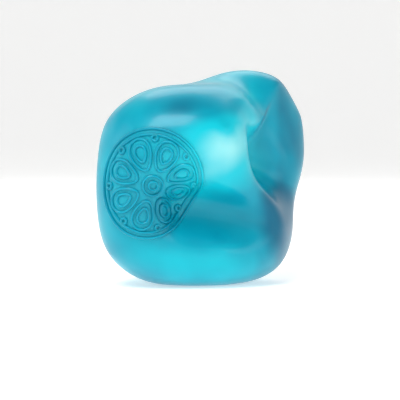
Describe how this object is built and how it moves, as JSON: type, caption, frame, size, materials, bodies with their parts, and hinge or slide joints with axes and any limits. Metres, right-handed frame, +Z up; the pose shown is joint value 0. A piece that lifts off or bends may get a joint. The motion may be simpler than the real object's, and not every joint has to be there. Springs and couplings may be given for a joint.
{
  "type": "squeeze ball",
  "caption": "Soft filled squeeze ball for hand and grip exercise, pressed into the shape of a closed hand, with a plugged filling port on the palm side.",
  "frame": {"origin": "on the flat underside, below the centre of the ball before it is squeezed", "axes": "+Z up, +Y towards the palm side that holds the filling port, +X towards the fingers' knuckles"},
  "size_m": [0.068, 0.0542, 0.0721],
  "materials": {
    "skin_rubber": "satin translucent teal thermoplastic rubber, moulded",
    "filling_dough": "matt off-white dough",
    "plug_rubber": "satin teal thermoplastic rubber, moulded"
  },
  "bodies": {
    "ball": {"skin": "skin_rubber", "filling": "filling_dough"},
    "palm_side": {"fill_plug": "plug_rubber"}
  },
  "joints": [
    {"name": "squeeze", "type": "slide", "parent": "ball", "child": "palm_side", "axis": [0, 1, 0], "range_m": [-0.01, 0.006], "stiffness_N_per_m": 1500, "deforming": ["skin", "filling"]}
  ]
}
